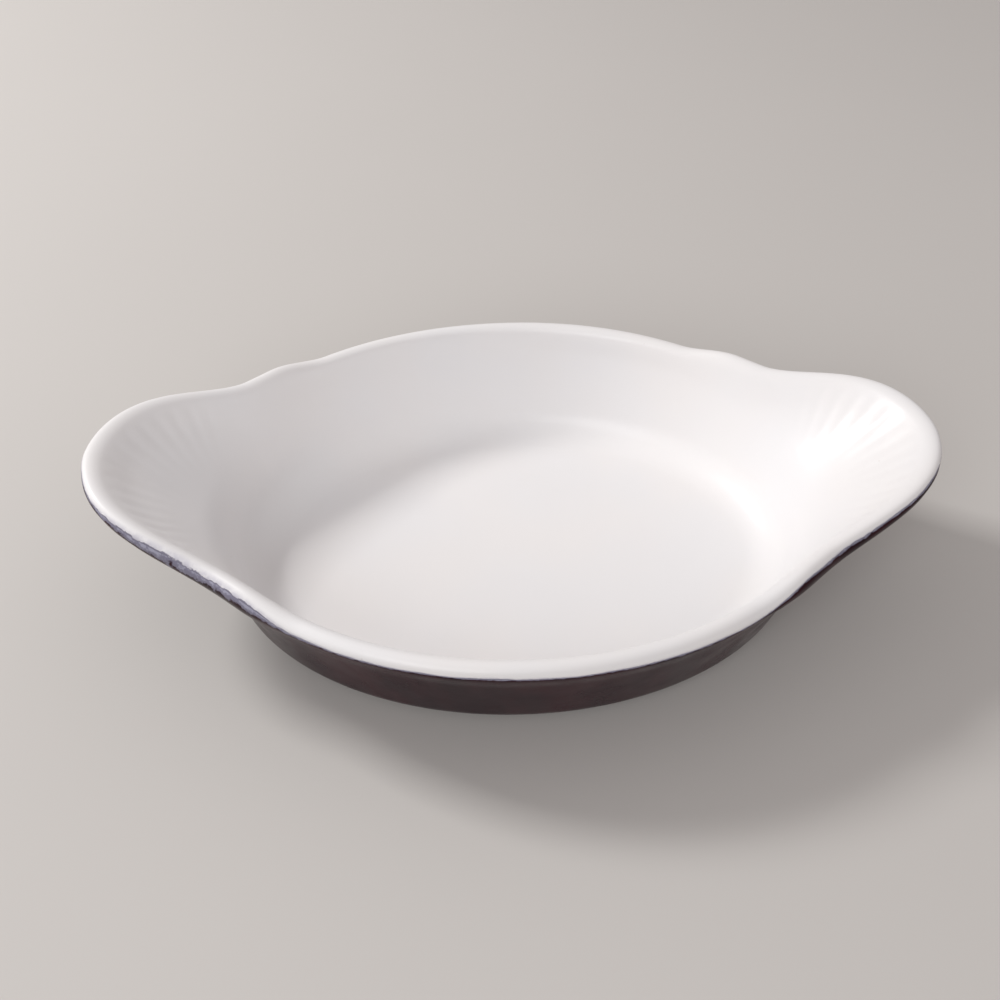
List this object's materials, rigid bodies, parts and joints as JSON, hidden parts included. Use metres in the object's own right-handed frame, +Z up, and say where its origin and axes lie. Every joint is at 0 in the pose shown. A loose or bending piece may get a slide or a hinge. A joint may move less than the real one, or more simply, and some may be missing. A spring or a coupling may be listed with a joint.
{
  "type": "gratin dish",
  "caption": "Oval stoneware gratin dish with a flared, ear-shaped grip at each end, glazed white inside and dark outside, standing on a bare foot ring.",
  "frame": {"origin": "on the face of the foot ring, under the middle of the dish", "axes": "+X along the dish from ear to ear, +Y across it, +Z up out of the bowl"},
  "size_m": [0.2998, 0.1834, 0.0636],
  "materials": {
    "bare_stoneware": "unglazed, ground flat, matte and slightly gritty",
    "white_glaze": "glossy warm white glaze, thinner and greyer over the rim",
    "dark_glaze": "glossy aubergine black glaze with a bluish break under the rim",
    "underside_dark_glaze": "the same dark glaze, wiped thinner"
  },
  "bodies": {
    "root": {"stoneware_body": "bare_stoneware", "white_inner_glaze": "white_glaze", "dark_outer_glaze": "dark_glaze", "underside_glaze": "underside_dark_glaze"}
  },
  "joints": []
}
